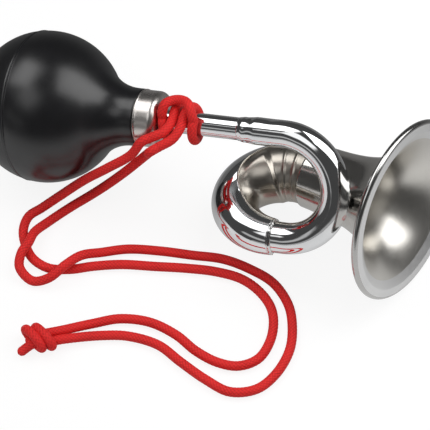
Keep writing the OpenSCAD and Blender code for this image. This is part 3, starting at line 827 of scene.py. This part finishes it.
# Relief of the inner half in millimetres, by the degrees that the elbow has turned and those round it
PANEL_FROM = 88.0
PANEL_POWER = 1.5
CREASE_AT = 146.0
CREASE_SLANT = 0.12
CREASE_MIDDLE = 30.0
CREASE_HIGH = 1.3
CREASE_FALL = 9.0
RIBS_AT = (172.0, 187.0)
RIB_HIGH = 0.22
RIB_WIDE = 1.8
RELIEF_FROM = 6.0
RELIEF_RISE = 20.0
RELIEF_TO = 172.0
RELIEF_FADE = 40.0
PAST_RELIEF = 360.0
SEAM_LINE_STEPS = 150
SEAM_LINE_SIDES = 10
SEAM_LINE_R = 0.32
SEAM_LINE_OUT = 0.05


def elbow_rows(count):
    # Of each ring: place, direction to the seam, direction to the inner half, radius and degrees turned
    made = []
    for t in np.linspace(0, ELBOW_TURN, count):
        seam = elbow_seam(t)
        made.append((elbow_at(t), seam, np.cross(elbow_heading(t), seam), elbow_radius(t), math.degrees(t)))
    seam = elbow_seam(ELBOW_TURN)
    for part in SPIGOT_PARTS:
        place = BELL_SEAT + part * SPIGOT_LEN * BELL_AXIS
        made.append((place, seam, np.cross(BELL_AXIS, seam), ELBOW_R, PAST_RELIEF))
    return [np.array(column) for column in zip(*made)]


def pressed_relief(turned, around):
    # The flat panel, crease and two shallow ribs that the press left in the inner half
    crease = CREASE_AT + CREASE_SLANT * (around - CREASE_MIDDLE)
    rise = np.clip((turned - PANEL_FROM) / (crease - PANEL_FROM), 0, 1) ** PANEL_POWER
    panel = CREASE_HIGH * rise * (1 - ease((turned - crease) / CREASE_FALL))
    ribs = sum(RIB_HIGH * np.exp(-((turned - at) / RIB_WIDE) ** 2) for at in RIBS_AT)
    fade = ease((around - RELIEF_FROM) / RELIEF_RISE) * ease((RELIEF_TO - around) / RELIEF_FADE)
    return (panel + ribs) * fade


def elbow_half(name, start, end, mat, relief=None):
    # A half shell between two angles round the elbow, in degrees from the seam on its top
    around = np.linspace(start, end, HALF_STEPS + 1)
    place, seam, side, r, turned = elbow_rows(ELBOW_STEPS)
    ring = ring_round(np.radians(around), seam, side)
    raised = 0.0 if relief is None else relief(turned[:, None], around)
    outer = place[:, None] + (r[:, None] + raised)[..., None] * ring
    inner = place[:, None] + (r[:, None, None] - ELBOW_WALL) * ring[:, ::-1]
    pts = np.concatenate([outer, inner], axis=1)
    faces = tube_faces(len(pts), pts.shape[1])
    obj = add_mesh(name, to_rest(pts.reshape(-1, 3)) * MM, faces, [mat])
    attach(obj, "horn")
    return obj


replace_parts(elbow_half("elbow_outer_shell", -180, 0, chrome), "elbow_outer")
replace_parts(elbow_half("elbow_inner_shell", 0, 180, satin, pressed_relief), "elbow_inner")

verts, faces = [], []
place, seam_out, _, r, _ = (column[:-len(SPIGOT_PARTS)] for column in elbow_rows(SEAM_LINE_STEPS))
for sign in (-1, 1):
    line = place + sign * (r + SEAM_LINE_OUT)[:, None] * seam_out
    ring = ring_round(angles_round(SEAM_LINE_SIDES), *carried_frames(line, X))
    faces += tube_faces(len(line), SEAM_LINE_SIDES, len(line) * SEAM_LINE_SIDES * len(verts))
    verts.append((line[:, None] + SEAM_LINE_R * ring).reshape(-1, 3))
seam = add_mesh("elbow_seam", to_rest(np.vstack(verts)) * MM, faces, [satin])
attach(seam, "horn")

# Solder in the elbow's mouth: an uneven fillet
SOLDER_SIDES = 96
SOLDER_STEPS = 14
SOLDER_FROM = 0.05
SOLDER_RUN = 1.15
SOLDER_FULL = 0.12
SOLDER_BACK = 1.0
# Size, number and phase of the waves in its surface
LUMPS = ((0.10, 3, 0.7), (0.07, 7, 2.1), (0.05, 13, 0.0))

solder_r = LOOP_END_R + FIT
mouth_in = ELBOW_MOUTH_R - ELBOW_WALL - LOOSE
angle = angles_round(SOLDER_SIDES)
lump = sum(size * np.sin(count * angle + phase) for size, count, phase in LUMPS)


def solder_ring(x, r):
    across = (ELBOW_X + x, r * np.sin(angle), -2 * LOOP_R + r * np.cos(angle))
    return np.stack(np.broadcast_arrays(*across), -1)


verts = []
for t in np.linspace(0, 1, SOLDER_STEPS):
    swell = math.sin(math.pi * t)
    verts.append(solder_ring(
        SOLDER_FROM + SOLDER_RUN * t + swell * lump,
        ELBOW_MOUTH_R + (solder_r - ELBOW_MOUTH_R) * t + swell * (SOLDER_FULL + lump)))
for x, r in (
        (SOLDER_FROM + SOLDER_RUN, solder_r), (-SOLDER_BACK, solder_r),
        (-SOLDER_BACK, mouth_in), (FIT, mouth_in)):
    verts.append(solder_ring(x, r))
faces = grid_faces(len(verts), SOLDER_SIDES, True)
fillet = add_mesh("solder_fillet", to_rest(np.vstack(verts)) * MM, faces, [solder])
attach(fillet, "horn")
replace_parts(fillet, "joint_solder")

# Bell: flare with a light zone by the lip, flat band, rolled rim, and the outside
BELL_SIDES = 192
FLARE_STEPS = 90
FLARE_POWER = 1.4
LIGHT_BAND = 3.4
# Points across the flat band, out from the lip, and the gap before the rim's ring
BAND_POINTS = (0.12, 0.5, 1.4, 2.2)
BAND_GAP = 0.15
ROLL_SWEEP = math.radians(250)
ROLL_STEPS = 41
BELL_MATS = [bell_satin, bell_band, bell_rim, bell_outside]
BOWL, BAND, ROLL, OUTSIDE = range(4)

flare_tail = math.exp(-BELL_LEN / FLARE_LEN)


def flare_r(z):
    fall = (math.exp((z - BELL_LEN) / FLARE_LEN) - flare_tail) / (1 - flare_tail)
    return THROAT_R + (LIP_R - THROAT_R) * fall


def flare_slope(z):
    return (LIP_R - THROAT_R) / FLARE_LEN * math.exp((z - BELL_LEN) / FLARE_LEN) / (1 - flare_tail)


def flare_outside(z):
    # The point of the outside that is a wall's thickness away from the flare
    slope = flare_slope(z)
    k = BELL_WALL / math.sqrt(1 + slope * slope)
    return z - k * slope, flare_r(z) + k


flare_zs = [BELL_LEN * (1 - (i / FLARE_STEPS) ** FLARE_POWER) for i in range(FLARE_STEPS, -1, -1)]
bowl = [(z, flare_r(z)) for z in flare_zs]
band = [(BELL_LEN, LIP_R + out) for out in BAND_POINTS] + [(BELL_LEN, RING_R - BAND_GAP)]
roll = arc(BELL_LEN - BEAD_R, RING_R, BEAD_R, 0, ROLL_SWEEP, ROLL_STEPS)
roll += arc(BELL_LEN - BEAD_R, RING_R, WIRE_R + FIT, ROLL_SWEEP, 0, ROLL_STEPS)
outside = [(BELL_LEN - BELL_WALL, LIP_R + BELL_WALL)]
outside += [flare_outside(z) for z in flare_zs[-2:0:-1]]
outside.append((0.0, THROAT_R + BELL_WALL))
index = [BAND if r > LIP_R - LIGHT_BAND else BOWL for _, r in bowl]
index += [BAND] * len(band) + [ROLL] * len(roll) + [OUTSIDE] * len(outside)
tilt = unit(np.cross(BELL_AXIS, Z))
bell = revolve(
    "bell_shell", bowl + band + roll + outside, BELL_MATS, BELL_SIDES, index, closed=True,
    place=BELL_SEAT, axes=(tilt, np.cross(BELL_AXIS, tilt), BELL_AXIS))
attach(bell, "horn")
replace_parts(bell, "bell")

# Inner pieces keep their solids and take fuller materials
for node, mat in (
        ("neck_sleeve", brass), ("reed_washer", leather), ("reed_block", brass),
        ("reed_trough", reed_brass), ("reed_tongue", reed_brass), ("reed_clamp", reed_brass),
        ("reed_screws", steel), ("rim_wire", steel)):
    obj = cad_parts[node]
    obj.data.materials.clear()
    obj.data.materials.append(mat)

# Floor: glows evenly to the camera, and in reflections glows with a painted reflection that is bright in
# front of the horn and dark behind it
FLOOR_GLOW = 0.87
MIRROR_DARK = 0.02
MIRROR_BRIGHT = 0.62
# In metres: half the floor's width, and half the stretch over which its painted reflection changes
FLOOR_HALF = 3
MIRROR_FADE = 0.05
FLOOR_LIT = (0.72, 0.72, 0.72)
FLOOR_SEEN = (0.16, 0.16, 0.16)
WHITE = (1, 1, 1, 1)


def make_floor():
    mat, tree, bsdf = new_material("floor")
    rays = tree.nodes.new("ShaderNodeLightPath").outputs
    seen = math_node(tree, "MAXIMUM", rays["Is Camera Ray"], rays["Is Transmission Ray"])
    seen_all = math_node(tree, "MAXIMUM", seen, rays["Is Glossy Ray"])
    place = tree.nodes.new("ShaderNodeNewGeometry").outputs["Position"]
    # Painted reflection: glossy rays see the floor lit in front of the horn and in shade behind it
    nearer = spread(
        tree, dot(tree, place, towards), MIRROR_DARK, MIRROR_BRIGHT, -MIRROR_FADE, MIRROR_FADE)
    painted_reflection = math_node(tree, "MULTIPLY", rays["Is Glossy Ray"], nearer)
    set_inputs(tree, bsdf, {
        "Base Color": blend_colours(tree, seen_all, FLOOR_LIT, FLOOR_SEEN, 0.0, 1.0),
        "Roughness": 0.9,
        "Specular IOR Level": 0.0,
        "Emission Color": WHITE,
        "Emission Strength": math_node(
            tree, "MAXIMUM", math_node(tree, "MULTIPLY", seen, FLOOR_GLOW), painted_reflection),
    })
    return mat


floor_corners = [(FLOOR_HALF * x, FLOOR_HALF * y, 0) for x, y in ((-1, -1), (1, -1), (1, 1), (-1, 1))]
floor = add_mesh("floor", floor_corners, [(0, 1, 2, 3)], [make_floor()], smooth=False)

# Studio: soft boxes that reflections show in a dim room, and white behind everything for the camera
ROOM_LEVEL = 0.06
BOX_EDGE = 0.06
BOX_AHEAD = 0.05
# Direction to a box's middle, half its width and height as tangents, and its level
SOFT_BOXES = (
    ((-0.47, -0.36, 0.81), (0.34, 0.30), 2.5),
    ((-0.42, 0.28, 0.86), (0.25, 0.25), 1.2),
    ((0.0, 1.0, 0.06), (1.2, 0.07), 0.4),
    ((-0.74, 0.55, 0.36), (0.30, 0.08), 0.5),
)
# Colour sockets of a mix node
MIX_A = 6
MIX_B = 7
MIX_RESULT = 2


def studio(v):
    # A direction given as (to the camera's right, towards the camera, up)
    return v[0] * right + v[1] * towards + v[2] * Z


def soft_box(tree, view, middle, half, level):
    out = unit(studio(middle))
    side = unit(np.cross(Z, out))
    ahead = dot(tree, view, out)
    mask = math_node(tree, "GREATER_THAN", ahead, BOX_AHEAD)
    depth = math_node(tree, "MAXIMUM", ahead, BOX_AHEAD)
    for axis, width in zip((side, np.cross(out, side)), half):
        off = math_node(tree, "ABSOLUTE", math_node(tree, "DIVIDE", dot(tree, view, axis), depth))
        fade = add_node(tree, "ShaderNodeMapRange", {
            "Value": off, "From Min": width + BOX_EDGE, "From Max": width - BOX_EDGE})
        fade.interpolation_type = "SMOOTHSTEP"
        mask = math_node(tree, "MULTIPLY", mask, fade.outputs["Result"])
    return math_node(tree, "MULTIPLY", mask, level)


world = bpy.data.worlds.new("studio")
bpy.context.scene.world = world
world.use_nodes = True
tree = world.node_tree
view = tree.nodes.new("ShaderNodeTexCoord").outputs["Generated"]
level = ROOM_LEVEL
for box in SOFT_BOXES:
    level = math_node(tree, "MAXIMUM", level, soft_box(tree, view, *box))
shade = add_node(tree, "ShaderNodeCombineColor", dict.fromkeys(range(3), level))
rays = tree.nodes.new("ShaderNodeLightPath").outputs
shown = tree.nodes.new("ShaderNodeMix")
shown.data_type = "RGBA"
set_inputs(tree, shown, {"Factor": rays["Is Camera Ray"], MIX_A: shade.outputs[0], MIX_B: WHITE})
set_inputs(tree, tree.nodes["Background"], {"Color": shown.outputs[MIX_RESULT], "Strength": 1.0})

# Lamps: a soft box above on the right, and a broad fill from the camera's side for matt surfaces alone
KEY_PLACE = np.array([174.7, 117.1, 292.2])
KEY_AIM = np.array([10.0, -10.0, 20.0])
# Width and height in metres, as the lamp has them
KEY_WIDE = 0.36
KEY_HIGH = 0.26
KEY_LEVEL = 2.5
FILL_FROM = (0.0, 0.5, 0.87)
FILL_FAR = 1000
FILL_LEVEL = 0.7
FILL_ANGLE = math.radians(120)


def lamp(name, kind, place, aim, energy):
    made = bpy.data.objects.new(name, bpy.data.lights.new(name, kind))
    made.data.energy = energy
    made.visible_camera = False
    bpy.context.scene.collection.objects.link(made)
    out = unit(place - aim)
    wide = unit(right - (right @ out) * out)
    made.matrix_world = axes_at(wide, np.cross(out, wide), out, place * MM)
    return made


key = lamp("key", "AREA", KEY_PLACE, KEY_AIM, KEY_LEVEL * math.pi * KEY_WIDE * KEY_HIGH)
key.data.shape = "RECTANGLE"
key.data.size = KEY_WIDE
key.data.size_y = KEY_HIGH
fill = lamp("fill", "SUN", FILL_FAR * studio(FILL_FROM), ORIGIN, FILL_LEVEL)
fill.data.angle = FILL_ANGLE
fill.visible_glossy = False

bpy.context.scene.view_settings.view_transform = "Standard"
